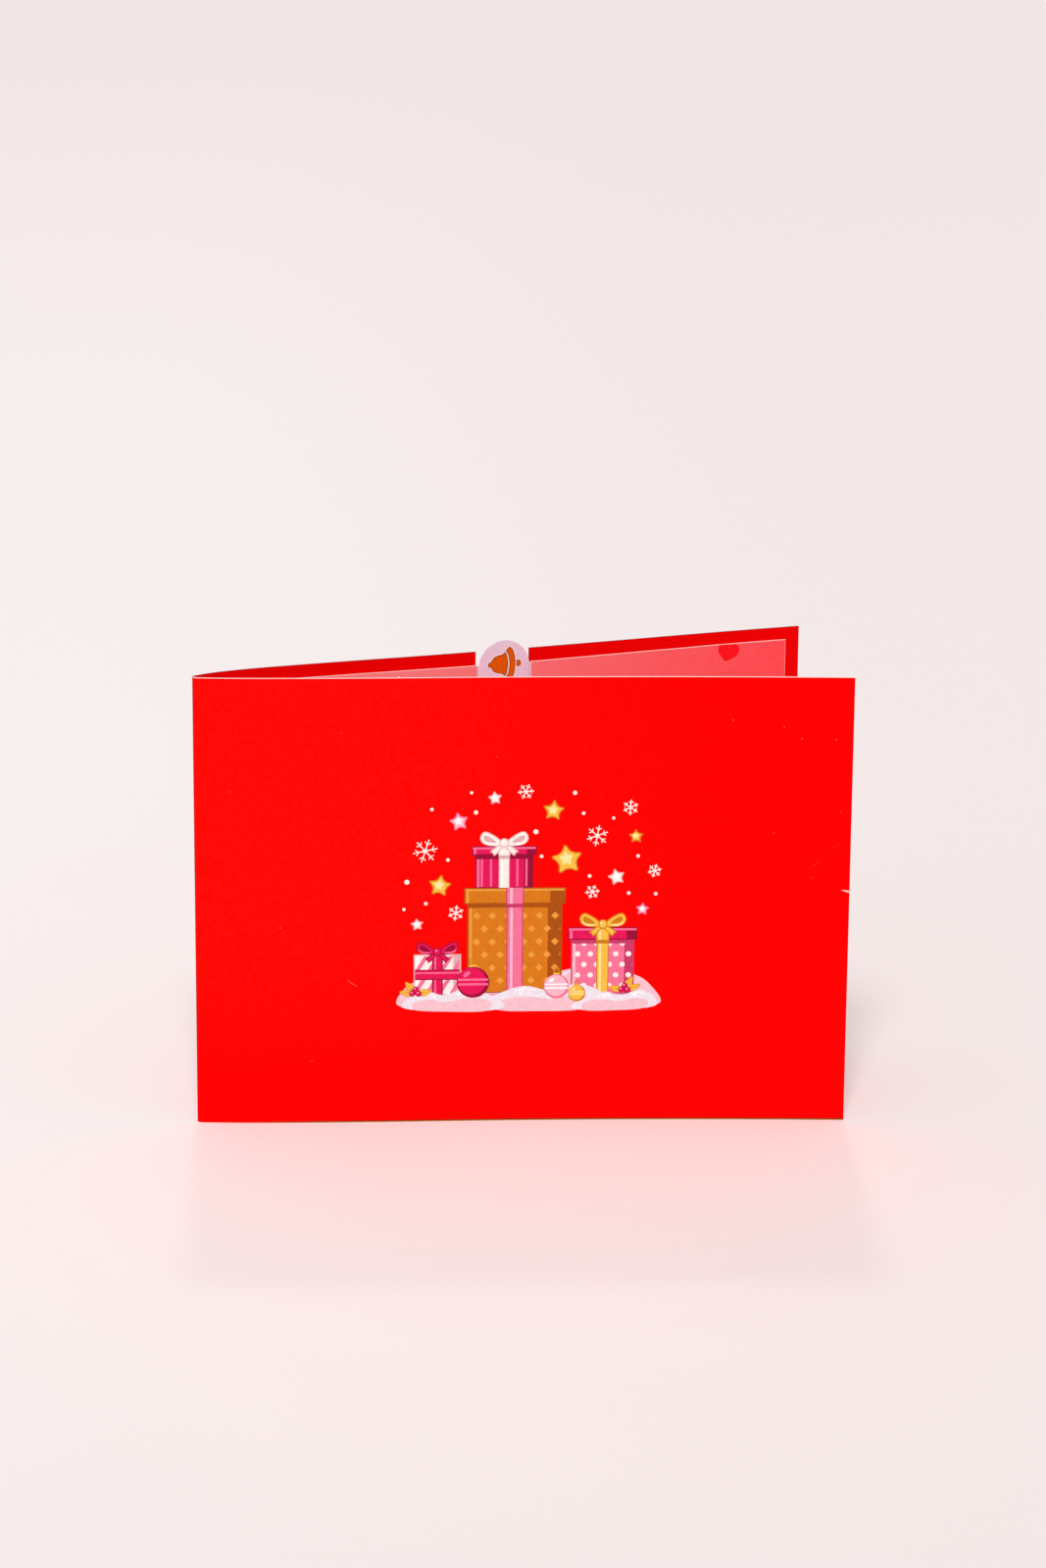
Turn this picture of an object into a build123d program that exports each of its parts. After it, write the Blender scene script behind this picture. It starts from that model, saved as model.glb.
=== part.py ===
from build123d import *
from math import atan2, cos, degrees, radians, sin
import os

# A landscape greeting card, folded once and stood half open on its bottom edges.
# It is three sheets: the red cover, a pink lining glued inside it, and a loose note card.
# The note card sits in a pocket between the back panel and the lining, and its
# half-round tab stands up through a thumb notch cut in both.
# Frame: +X runs from the fold to the free edge of the front panel, +Y from the front
# panel to the back one, +Z up. A sheet's depth is counted inwards from the outer face.

# Cover: one sheet of heavy card
panel_width = 178.0
card_height = 127.0
cover_thickness = 0.45
crease_radius = 0.95
opening_angle = 18.6

# Bow of each panel, as arcs from the fold to the free edge: shares of the panel's
# width, and how many degrees each arc turns to the left
front_arc_shares = (0.10, 0.25, 0.30, 0.35)
front_arc_turns = (4.1, 2.5, -2.2, -2.2)
back_arc_shares = (0.05, 0.07, 0.16, 0.24, 0.24, 0.24)
back_arc_turns = (-14.4, -6.7, -2.1, 2.1, 1.1, -2.6)

# Thumb notch in the top edge of the back panel: straight sides and a round bottom
notch_width = 15.6
notch_straight = 9.6
notch_centre = panel_width / 2

# Lining: one thinner sheet, glued inside both panels and through the fold
lining_thickness = 0.3
glue_gap = 0.1
top_border = 3.5
bottom_border = 3.5
free_border = 4.1

# Note card: a flat sheet with a half-round tab, slid a little towards the free edge
note_thickness = 0.35
note_width = 98.0
note_height = 100.0
note_top_drop = 0.5
note_slide = 0.4
tab_radius = 7.3
tab_centre_drop = 0.5

# Pocket: the lining lifts off the cover beside and below the note, and domes over it
note_clearance = 0.1
side_slack = 1.0
shoulder_length = 18.0
pocket_lead = 8.0
seat_dome = 0.05
top_dome = 0.65

# Overrun of every cut, and the shortest arc worth drawing
overrun = 3.0
shortest_arc = 0.01

lining_depth = cover_thickness + glue_gap
note_depth = cover_thickness + note_clearance
lining_top = card_height - top_border
note_top = lining_top - note_top_drop
note_bottom = note_top - note_height
note_centre = notch_centre + note_slide
tab_centre = note_top - tab_centre_drop
tab_top = tab_centre + tab_radius
crease_outer_radius = crease_radius + cover_thickness
shoulder_rise = note_depth + note_thickness + note_clearance - lining_depth
pocket_half = note_width / 2 + side_slack
pocket_depth = lining_depth + lining_thickness + shoulder_rise + top_dome


def spans(shares, turns, length):
    """Spans (start, end, turn) that a table of arcs covers along a panel."""
    marks = [sum(shares[:i]) * length for i in range(len(shares) + 1)]
    return list(zip(marks, marks[1:], turns))


def pocket_spans(rise, dome):
    """Spans that lift the lining by a rise over the note's width, and by a dome on top."""
    left, right = notch_centre - pocket_half, notch_centre + pocket_half
    half, quarter = shoulder_length / 2, pocket_half / 2
    lift = degrees(rise / half)
    bulge = degrees(dome / quarter)
    return [
        (left - shoulder_length, left - half, -lift),
        (left - half, left, lift),
        (left, left + quarter, -bulge),
        (left + quarter, right - quarter, 2 * bulge),
        (right - quarter, right, -bulge),
        (right, right + half, lift),
        (right + half, right + shoulder_length, -lift),
    ]


def arcs_between(bends, start, end):
    """Arcs (length, turn) from start to end, where overlapping spans add their turns."""
    marks = [start]
    for mark in sorted(mark for span in bends for mark in span[:2]):
        if marks[-1] + shortest_arc < mark < end - shortest_arc:
            marks.append(mark)
    marks.append(end)
    arcs = []
    for low, high in zip(marks, marks[1:]):
        middle = (low + high) / 2
        turn = sum(t * (high - low) / (b - a) for a, b, t in bends if a <= middle <= b)
        arcs.append((high - low, turn))
    return arcs


def leaving_angle(bends, direction):
    """Heading at the fold of a panel whose two ends lie in the given direction."""
    x, y, heading = 0.0, 0.0, 0.0
    for length, turn in arcs_between(bends, 0.0, panel_width):
        middle = radians(heading + turn / 2)
        x, y, heading = x + length * cos(middle), y + length * sin(middle), heading + turn
    return direction - degrees(atan2(y, x))


front_bends = spans(front_arc_shares, front_arc_turns, panel_width)
back_bends = spans(back_arc_shares, back_arc_turns, panel_width)
front_heading = leaving_angle(front_bends, 0.0)
back_heading = leaving_angle(back_bends, opening_angle)


def panel_edges(bends, heading, side, depth, start, end):
    """Tangent arcs of a panel's face at that depth. Side is 1 on the front, -1 on the back."""
    across = radians(heading)
    reach = crease_outer_radius - depth
    point = Vector(side * reach * sin(across), -side * reach * cos(across))
    edges = []
    arcs = arcs_between(bends, 0.0, start) if start > 0 else []
    skipped = len(arcs)
    for length, turn in arcs + arcs_between(bends, start, end):
        tangent = Vector(1, 0).rotate(Axis.Z, heading)
        if turn:
            radius = length / radians(turn) - side * depth
            edge = JernArc(start=point, tangent=tangent, radius=abs(radius), arc_size=turn)
        else:
            edge = Line(point, point + tangent * length)
        edges.append(edge)
        point = edge @ 1
        heading += turn
    return edges[skipped:]


def crease_edge(depth):
    """Round of the fold at that depth, from the back panel to the front one."""
    reach = crease_outer_radius - depth
    angles = (back_heading + 90, (back_heading + front_heading) / 2 + 180, front_heading + 270)
    return ThreePointArc(*[Vector(reach, 0).rotate(Axis.Z, angle) for angle in angles])


def folded_profile(depth, thickness, reach, pocket=()):
    """Plan of a folded sheet whose panels both end at that reach."""
    bends = back_bends + list(pocket)
    faces = []
    for level in (depth, depth + thickness):
        front = panel_edges(front_bends, front_heading, 1, level, 0.0, reach)
        back = panel_edges(bends, back_heading, -1, level, 0.0, reach)
        faces.append((front, back, crease_edge(level)))
    outer, inner = faces
    ends = [Line(outer[i][-1] @ 1, inner[i][-1] @ 1) for i in (0, 1)]
    return make_face(outer[0] + outer[1] + [outer[2]] + inner[0] + inner[1] + [inner[2]] + ends)


def strip_profile(depth, thickness, start, end):
    """Plan of a sheet that lies along part of the back panel."""
    outer, inner = [
        panel_edges(back_bends, back_heading, -1, level, start, end)
        for level in (depth, depth + thickness)
    ]
    ends = [Line(outer[0] @ 0, inner[0] @ 0), Line(outer[-1] @ 1, inner[-1] @ 1)]
    return make_face(outer + inner + ends)


def notch_plane():
    """Upright plane on the back panel at the notch, with its height along Y."""
    edges = panel_edges(back_bends, back_heading, -1, 0.0, 0.0, notch_centre)
    along = edges[-1] % 1
    return Plane(origin=edges[-1] @ 1, x_dir=along, z_dir=along.cross(Vector(0, 0, 1)))


def through_notch(outline):
    """Solid of an outline drawn on the notch plane, run through every sheet there."""
    return extrude(notch_plane() * outline, amount=pocket_depth + overrun, both=True)


def notch_cutter():
    """Slot of the thumb notch, open above the top edge."""
    height = notch_straight + overrun
    mouth = Pos(0, card_height - notch_straight + height / 2) * Rectangle(notch_width, height)
    bottom = Pos(0, card_height - notch_straight) * Circle(notch_width / 2)
    return through_notch(mouth + bottom)


def make_cover():
    """Folded cover with the thumb notch in its back panel."""
    profile = folded_profile(0.0, cover_thickness, panel_width)
    return extrude(profile, amount=card_height, dir=(0, 0, 1)) - notch_cutter()


def make_lining():
    """Folded lining, flat where it is glued and lifted over the note."""
    levels = [
        (bottom_border, 0.0, 0.0),
        (note_bottom - pocket_lead, 0.0, 0.0),
        (note_bottom, shoulder_rise, seat_dome),
        (lining_top, shoulder_rise, top_dome),
    ]
    reach = panel_width - free_border
    sections = []
    for height, rise, dome in levels:
        pocket = pocket_spans(rise, dome)
        profile = folded_profile(lining_depth, lining_thickness, reach, pocket)
        sections.append(Pos(0, 0, height) * profile)
    return loft(sections, ruled=True) - notch_cutter()


def make_note():
    """Note card: its body in the pocket and its tab up through the notch."""
    def strip(half_width, height):
        start, end = note_centre - half_width, note_centre + half_width
        profile = strip_profile(note_depth, note_thickness, start, end)
        return Pos(0, 0, note_bottom) * extrude(profile, amount=height, dir=(0, 0, 1))

    body = strip(note_width / 2, note_height)
    disc = Pos(note_slide, tab_centre) * Circle(tab_radius)
    return body + (strip(tab_radius, tab_top - note_bottom) & through_notch(disc))


sheets = {"cover": make_cover(), "lining": make_lining(), "note_card": make_note()}

# The origin is the middle of the card's footprint, on the surface that it stands on
box = Compound(list(sheets.values())).bounding_box()
to_origin = Pos(-box.center().X, -box.center().Y, -box.min.Z)

os.makedirs("parts", exist_ok=True)
for name, sheet in sheets.items():
    export_step(to_origin * sheet, f"parts/{name}.step")
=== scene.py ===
from functools import partialmethod
from math import cos, degrees, pi, radians, sin

import bmesh
import bpy
import numpy as np
from bpy.props import FloatProperty, FloatVectorProperty, IntProperty, PointerProperty
from mathutils import Matrix, Vector
from mathutils.geometry import delaunay_2d_cdt


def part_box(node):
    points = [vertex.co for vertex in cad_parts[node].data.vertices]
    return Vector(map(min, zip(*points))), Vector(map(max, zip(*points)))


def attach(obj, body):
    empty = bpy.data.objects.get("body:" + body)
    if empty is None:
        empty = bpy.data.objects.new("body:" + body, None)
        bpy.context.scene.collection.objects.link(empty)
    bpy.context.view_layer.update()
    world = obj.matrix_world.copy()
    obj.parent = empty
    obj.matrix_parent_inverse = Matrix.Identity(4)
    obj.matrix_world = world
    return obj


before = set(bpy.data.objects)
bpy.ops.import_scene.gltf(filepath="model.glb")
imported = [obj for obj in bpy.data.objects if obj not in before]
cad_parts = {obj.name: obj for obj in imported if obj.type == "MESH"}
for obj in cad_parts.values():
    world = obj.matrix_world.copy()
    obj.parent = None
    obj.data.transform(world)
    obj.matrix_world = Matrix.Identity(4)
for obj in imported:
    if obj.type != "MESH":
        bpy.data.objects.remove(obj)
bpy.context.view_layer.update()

bl_info = {
    "name": "Greeting card",
    "version": (1, 0, 0),
    "blender": (4, 5, 0),
    "location": "View3D > Sidebar > Card",
    "description": "Prints and finishes a folded card, its lining and its pull-out note",
    "category": "Object",
}

MM = 0.001

# Width that the picture is drawn at, and depth of the papers' fine relief
DRAWN_WIDTH = 73 * MM
RELIEF = 0.05 * MM

# Width of the outlines of gifts and bows, and the least size worth drawing, in millimetres
LINE = 0.3
TINY = 1e-5


def linear(red, green, blue):
    """Scene colour, with full alpha, of a printed colour that is given from 0 to 255."""
    shares = [value / 255 for value in (red, green, blue)]
    return [s / 12.92 if s <= 0.04045 else ((s + 0.055) / 1.055) ** 2.4 for s in shares] + [1.0]


def amount(name, description, default):
    """A plain number property."""
    return FloatProperty(name=name, description=description, default=default)


def length(name, description, default):
    """A size property in metres, given here in millimetres."""
    return FloatProperty(
        name=name, description=description, default=default * MM, unit="LENGTH", precision=5
    )


def angle(name, description, default):
    """An angle property, given here in degrees."""
    return FloatProperty(
        name=name, description=description, default=radians(default), subtype="ANGLE"
    )


def bearing(name, description, *value):
    """A direction property."""
    return FloatVectorProperty(
        name=name, description=description, default=value, subtype="DIRECTION"
    )


def colour(name, description, *value):
    """A colour property, given here as printed values from 0 to 255."""
    return FloatVectorProperty(
        name=name, description=description, default=linear(*value), size=4, subtype="COLOR",
        min=0, max=1,
    )


def vertices(node):
    """Corners of a sheet's mesh."""
    return [vertex.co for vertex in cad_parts[node].data.vertices]


def middle(points):
    """Middle of some points."""
    return sum(points, Vector()) / len(points)


# Least distance that tells two corners of a sheet apart, and how far from the tab the
# notch's upper corners are looked for, across and in depth
NEAR = 0.02 * MM
NOTCH_ACROSS, NOTCH_DEEP = 9 * MM, 5 * MM

# Where the frame puts the card
COVER_LOW, COVER_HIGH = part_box("cover")
LINING_LOW, LINING_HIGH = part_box("lining")
NOTE_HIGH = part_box("note_card")[1]
FOLD = middle([p for p in vertices("cover") if p.x < COVER_LOW.x + NEAR])
TAB = middle([p for p in vertices("note_card") if p.z > NOTE_HIGH.z - NEAR])
NOTCH = middle([
    p for p in vertices("cover")
    if p.z > COVER_HIGH.z - NEAR and p.y > TAB.y - NOTCH_DEEP and abs(p.x - TAB.x) < NOTCH_ACROSS
])
LINING_END = max((p for p in vertices("lining") if p.y > 0), key=lambda p: p.x)

# A line that stays between the panels, and one that stays in front of the card
BETWEEN = FOLD.y + 2.4 * MM
BEFORE = COVER_LOW.y - 5 * MM


class CoverSettings(bpy.types.PropertyGroup):
    """Sizes and colours of the red cover."""

    red: colour("Red", "Print on the outside of the cover", 250, 1, 1)
    red_pale: colour("Pale red", "The print where it is thinner, by the fold", 252, 9, 6)
    # Painted shade: the inside of the cover gets a darker red than the outside, for the shade
    # between the panels
    red_inside: colour("Inner red", "Print on the inside of the cover", 234, 1, 2)
    cut: colour("Cut edge", "Bare card along the front panel's top edge", 255, 232, 228)
    rim: length("Rim", "Width of the bare fibres along that edge", 0.09)
    # Painted shade: the cut edges other than the front panel's top get a dark red instead of bare
    # card
    cut_dark: colour("Dark cut edge", "The other cut edges", 92, 10, 6)
    # Painted shade: the outer round of the fold, which turns away from the light, gets a darker red
    crease: colour("Crease", "The print where the fold stretches it", 176, 8, 8)
    # Painted shade along the foot: a dark band where the card meets the floor, and below it the
    # rubbed bare edge, darkened as if in shade
    foot: colour("Foot", "Rubbed edge that the card stands on", 176, 128, 82)
    foot_dark: colour("Dark foot", "The print just above the rubbed edge", 140, 30, 4)
    foot_height: length("Foot height", "Height of the rubbed edge", 0.34)
    opening: angle("Opening", "Angle between the two panels", 18.6)
    fold_radius: length("Fold radius", "Outer radius of the fold", 1.4)
    notch_width: length("Notch width", "Width of the thumb notch", 15.6)
    notch_straight: length("Notch sides", "Straight part of the notch's sides", 9.6)
    speck: colour("Speck", "Dust specks in the print", 255, 96, 84)
    scuff: colour("Scuff", "Bare fibres where the print is scuffed off", 255, 206, 198)
    scratch: colour("Scratch", "A faint scratch in the print", 255, 14, 11)
    nick: length("Nick", "Place of the tuft on the front panel's top edge", -33.9)
    nick_width: length("Nick width", "Width of the tuft of fibres", 0.6)


class LiningSettings(bpy.types.PropertyGroup):
    """Sizes and colours of the pink lining."""

    pink_fold: colour("Pink by the fold", "Lining print near the fold", 253, 138, 142)
    pink_end: colour("Pink by the free edge", "Lining print near the free edge", 252, 74, 82)
    cut: colour("Cut edge", "Bare paper where it was cut", 255, 236, 230)
    rim: length("Rim", "Width of bare fibres along the edges", 0.12)
    heart: colour("Heart", "Print of the hearts", 255, 13, 28)
    heart_width: length("Heart width", "Width of a heart", 6.5)
    heart_spacing: length("Heart spacing", "Least distance between two hearts", 19.0)
    heart_ceiling: length("Heart ceiling", "Height up to which hearts are scattered", 102.0)
    heart_margin: length("Heart margin", "From a heart's middle to the lining's edges", 5.0)
    heart_clear: length("Clear strip", "Width of the strip by the fold without hearts", 14.0)
    heart_lean: angle("Heart lean", "How far a heart leans at most", 28)
    heart_least: amount("Smallest heart", "Its size, as a share of the heart's width", 0.75)
    heart_most: amount("Largest heart", "Its size, as a share of the heart's width", 1.1)
    heart_seed: IntProperty(name="Heart seed", description="Order of the scatter", default=4)
    top_heart: length("Top heart", "Place of the heart that the top edge cuts", 58.3)
    top_heart_tip: length("Top heart's tip", "Its tip, below the top edge", 5.0)
    top_heart_lean: angle("Top heart's lean", "How far it leans to the right", 15)


class NoteSettings(bpy.types.PropertyGroup):
    """Sizes and colours of the note card and the bell on its tab."""

    lilac: colour("Lilac", "Print of the note card", 235, 214, 236)
    cut: colour("Cut edge", "Bare card where it was cut", 252, 240, 250)
    bell: colour("Bell", "Fill of the bell", 230, 98, 2)
    bell_line: colour("Bell line", "Outline of the bell", 150, 62, 10)
    bell_halo: colour("Bell border", "Pale border round the bell", 255, 246, 240)
    bell_axis: length("Bell axis", "Height of the bell's axis below the tab's top", 6.72)


# Inks of the picture that come in three tones: their use, then the tone, its shade and its gleam
INKS = {
    "brown": ("Large gift", (214, 122, 22), (168, 80, 10), (236, 156, 60)),
    "gold": ("Stars and ribbons", (248, 192, 70), (204, 126, 22), (255, 232, 160)),
    "pink": ("Ribbon and the dotted gift", (242, 116, 154), (200, 58, 104), (253, 188, 204)),
    "magenta": ("Lids and baubles", (226, 16, 88), (150, 4, 52), (250, 108, 152)),
    "cream": ("Dots and pale wrapping", (254, 240, 232), (222, 176, 178), (255, 252, 250)),
}
SHADES = ("", "_dark", "_light")


class PictureSettings(bpy.types.PropertyGroup):
    """Place, size and inks of the picture on the front."""

    width: length("Width", "Width of the picture", 73.0)
    from_fold: length("From the fold", "Middle of the picture, from the fold", 91.5)
    base: length("Base", "Lowest point of the picture above the card's foot", 31.8)
    gap: length("Ink height", "Height of the ink over the sheet", 0.02)
    snow: colour("Snow", "Front snowdrift", 236, 230, 240)
    snow_pink: colour("Pink snow", "Back snowdrift", 242, 198, 208)
    snow_shade: colour("Snow shade", "Hollows in the snow", 226, 168, 186)


for ink_name, (use, *values) in INKS.items():
    for shade, value in zip(SHADES, values):
        label = (ink_name + shade).replace("_", " ").capitalize()
        PictureSettings.__annotations__[ink_name + shade] = colour(label, use, *value)


class StageSettings(bpy.types.PropertyGroup):
    """Camera, lamps and floor."""

    lens: amount("Lens", "Focal length on 36 mm film", 106.4)
    camera_place: FloatVectorProperty(
        name="Camera", description="Camera's place", subtype="TRANSLATION", unit="LENGTH",
        default=[value * MM for value in (-39.25, -1241.66, 437.0)], precision=5,
    )
    camera_turn: FloatVectorProperty(
        name="Camera's turn", description="Its pitch down, its yaw to the left and its roll",
        subtype="EULER", default=[radians(value) for value in (15.649, -1.846, 0.425)],
    )
    # Painted shade on the floor: darker to the right and far off, where less light falls
    floor_left: colour("Floor", "Floor at the left of the card", 250, 244, 243)
    floor_right: colour("Right floor", "Floor at the right of the card", 245, 237, 236)
    floor_far: colour("Far floor", "Floor far from the card", 244, 234, 234)
    back_start: length("Back start", "Where the far floor's tone sets in, behind", 200.0)
    back_end: length("Back end", "Where the floor behind is all of that tone", 3000.0)
    front_start: length("Front start", "Where that tone sets in, in front", -100.0)
    front_end: length("Front end", "Where the floor in front has its share of it", -450.0)
    front_share: amount("Front share", "That share", 0.7)
    floor_size: length("Floor size", "Width and depth of the floor", 12000.0)
    sky: colour("Sky", "Light from all round", 255, 250, 249)
    sky_strength: amount("Sky strength", "Its strength", 0.44)
    key_strength: amount("Key lamp", "Strength of the soft lamp in front", 2.11)
    key_from: bearing("Key direction", "Where that lamp stands", -0.08, -1.0, 1.08)
    key_width: angle("Key width", "How wide that lamp looks", 16)
    back_strength: amount("Back lamp", "Strength of the small lamp behind", 0.27)
    back_from: bearing("Back direction", "Where that lamp stands", 0.0, 1.0, 1.04)
    back_width: angle("Back width", "How wide that lamp looks", 5)


class Tree:
    """Short calls that add and link nodes in one node tree."""

    def __init__(self, tree):
        self.tree = tree

    def add(self, kind, inputs=None, **settings):
        """Add a node, and set or link its inputs by their name or number."""
        made = self.tree.nodes.new(kind)
        for key, value in settings.items():
            setattr(made, key, value)
        for key, value in (inputs or {}).items():
            self.feed(made, key, value)
        return made

    def feed(self, node, key, value):
        """Set or link one input of a node."""
        if isinstance(value, bpy.types.NodeSocket):
            self.tree.links.new(value, node.inputs[key])
        else:
            node.inputs[key].default_value = value

    def maths(self, operation, *values):
        """Result of a Math node."""
        return self.add("ShaderNodeMath", dict(enumerate(values)), operation=operation).outputs[0]

    plus = partialmethod(maths, "ADD")
    minus = partialmethod(maths, "SUBTRACT")
    times = partialmethod(maths, "MULTIPLY")

    def place(self):
        """The shaded point, in the object's own frame."""
        return self.add("ShaderNodeTexCoord").outputs["Object"]

    def least(self, *values):
        """Smallest of some values."""
        result = values[0]
        for value in values[1:]:
            result = self.maths("MINIMUM", result, value)
        return result

    def split(self, vector):
        """X, Y and Z of a vector."""
        return self.add("ShaderNodeSeparateXYZ", {0: vector}).outputs

    def join(self, x, y, z):
        """Vector of three numbers."""
        return self.add("ShaderNodeCombineXYZ", {0: x, 1: y, 2: z}).outputs[0]

    def mix(self, factor, first, second):
        """Blend of two colours."""
        inputs = {0: factor, 6: first, 7: second}
        return self.add("ShaderNodeMix", inputs, data_type="RGBA").outputs[2]

    def step(self, low, high, value):
        """Smooth step from 0 at low to 1 at high."""
        inputs = {"Value": value, "From Min": low, "From Max": high}
        kind = "ShaderNodeMapRange"
        return self.add(kind, inputs, interpolation_type="SMOOTHSTEP").outputs[0]

    def use(self, group, inputs):
        """Outputs of a node group placed in this tree."""
        kind = "ShaderNodeGroup" if group.bl_idname == "ShaderNodeTree" else "GeometryNodeGroup"
        made = self.add(kind, node_tree=group)
        for key, value in inputs.items():
            self.feed(made, key, value)
        return made.outputs


FLOAT, GEOMETRY = "NodeSocketFloat", "NodeSocketGeometry"


def new_group(name, kind, inputs, outputs):
    """New node group with named sockets: its Tree, its inputs and its output node."""
    group = bpy.data.node_groups.new(name, kind)
    for side, sockets in (("INPUT", inputs), ("OUTPUT", outputs)):
        for label, socket_type in sockets.items():
            group.interface.new_socket(label, in_out=side, socket_type=socket_type)
    tree = Tree(group)
    return tree, tree.add("NodeGroupInput").outputs, tree.add("NodeGroupOutput")


def built_once(build):
    """Let a function build its node group once, and find it again later."""
    name = build.__name__.replace("_", " ").capitalize()

    def find():
        if name not in bpy.data.node_groups:
            build(name)
        return bpy.data.node_groups[name]
    return find


@built_once
def paper_grain(name):
    """Fibres and faint cloudiness of a printed sheet."""
    tree, get, out = new_group(
        name, "ShaderNodeTree", {"Fibre Scale": FLOAT, "Cloud Scale": FLOAT},
        {"Height": FLOAT, "Cloud": FLOAT, "Speckle": FLOAT},
    )
    place = tree.place()
    fibre = {"Vector": place, "Scale": get["Fibre Scale"], "Detail": 4.0, "Roughness": 0.6}
    cloud = {"Vector": place, "Scale": get["Cloud Scale"], "Detail": 3.0}
    fibres = tree.add("ShaderNodeTexNoise", fibre).outputs[0]
    clouds = tree.add("ShaderNodeTexNoise", cloud).outputs[0]
    tree.feed(out, "Height", fibres)
    tree.feed(out, "Cloud", tree.step(0.3, 0.7, clouds))
    tree.feed(out, "Speckle", tree.step(0.35, 0.7, fibres))


@built_once
def folded_sheet(name):
    """Masks of a folded sheet's parts, and how far along the back panel a point lies."""
    tree, get, out = new_group(
        name, "ShaderNodeTree", {"Fold X": FLOAT, "Fold Y": FLOAT, "Opening": FLOAT},
        {"Cut": FLOAT, "Crease": FLOAT, "Inside": FLOAT, "Back": FLOAT, "Along Back": FLOAT},
    )
    x, y, _ = tree.split(tree.place())
    facing = tree.split(tree.add("ShaderNodeNewGeometry").outputs["True Normal"])
    out_x = tree.minus(x, get["Fold X"])
    out_y = tree.minus(y, get["Fold Y"])
    along_x = tree.times(out_x, tree.maths("COSINE", get["Opening"]))
    along_y = tree.times(out_y, tree.maths("SINE", get["Opening"]))
    slope = tree.maths("TANGENT", tree.times(get["Opening"], 0.5))
    back = tree.maths("GREATER_THAN", out_y, tree.times(out_x, slope))
    to_back = tree.maths("GREATER_THAN", facing[1], 0.0)
    outside = tree.maths("ABSOLUTE", tree.minus(to_back, back))
    level = tree.maths("GREATER_THAN", tree.maths("ABSOLUTE", facing[2]), 0.5)
    across = tree.maths("GREATER_THAN", tree.maths("ABSOLUTE", facing[0]), 0.75)
    upright = tree.times(across, tree.maths("GREATER_THAN", out_x, 0.0))
    by_fold = tree.maths("LESS_THAN", out_x, 0.0)
    # The fold's outer round, facing left: the cover paints shade there
    turned = tree.step(-0.8, -0.97, facing[0])
    tree.feed(out, "Cut", tree.maths("MAXIMUM", level, upright))
    tree.feed(out, "Crease", tree.times(turned, by_fold))
    tree.feed(out, "Inside", outside)
    tree.feed(out, "Back", back)
    tree.feed(out, "Along Back", tree.plus(along_x, along_y))


@built_once
def bare_fibres(name):
    """Ragged mask of the bare fibres within a width of an edge."""
    tree, get, out = new_group(
        name, "ShaderNodeTree", {"Distance": FLOAT, "Width": FLOAT}, {"Mask": FLOAT}
    )
    noise = {"Vector": tree.place(), "Scale": 900.0, "Detail": 3.0}
    ragged = tree.add("ShaderNodeTexNoise", noise)
    share = tree.plus(tree.times(ragged.outputs[0], 0.5), 0.75)
    wide = tree.times(get["Width"], share)
    inside = tree.step(tree.times(wide, 0.7), wide, get["Distance"])
    tree.feed(out, "Mask", tree.minus(1.0, inside))


def new_material(name, gloss, rough):
    """Plain node material with its gloss and roughness, its Tree and its shader."""
    material = bpy.data.materials.new(name)
    material.use_nodes = True
    tree = Tree(material.node_tree)
    material.node_tree.nodes.clear()
    wanted = {"Specular IOR Level": gloss, "Roughness": rough}
    shader = tree.add("ShaderNodeBsdfPrincipled", wanted)
    tree.add("ShaderNodeOutputMaterial", {"Surface": shader.outputs[0]})
    return material, tree, shader


def new_paper(name, fibre, cloud, relief, gloss, rough):
    """Material of a paper with fine relief, its Tree, its shader and its grain."""
    material, tree, shader = new_material(name, gloss, rough)
    grain = tree.use(paper_grain(), {"Fibre Scale": fibre, "Cloud Scale": cloud})
    height = {"Height": grain["Height"], "Strength": relief, "Distance": RELIEF}
    tree.feed(shader, "Normal", tree.add("ShaderNodeBump", height).outputs[0])
    return material, tree, shader, grain


def fold_inputs(cover):
    """Place of the fold's axis and the opening, for the masks of a folded sheet."""
    return {"Fold X": FOLD.x + cover.fold_radius, "Fold Y": FOLD.y, "Opening": cover.opening}


def along_back(cover, point):
    """Distance of a point from the fold's axis, along the back panel."""
    way = Vector((cos(cover.opening), sin(cover.opening)))
    return Vector((point.x - FOLD.x - cover.fold_radius, point.y - FOLD.y)).dot(way)


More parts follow.
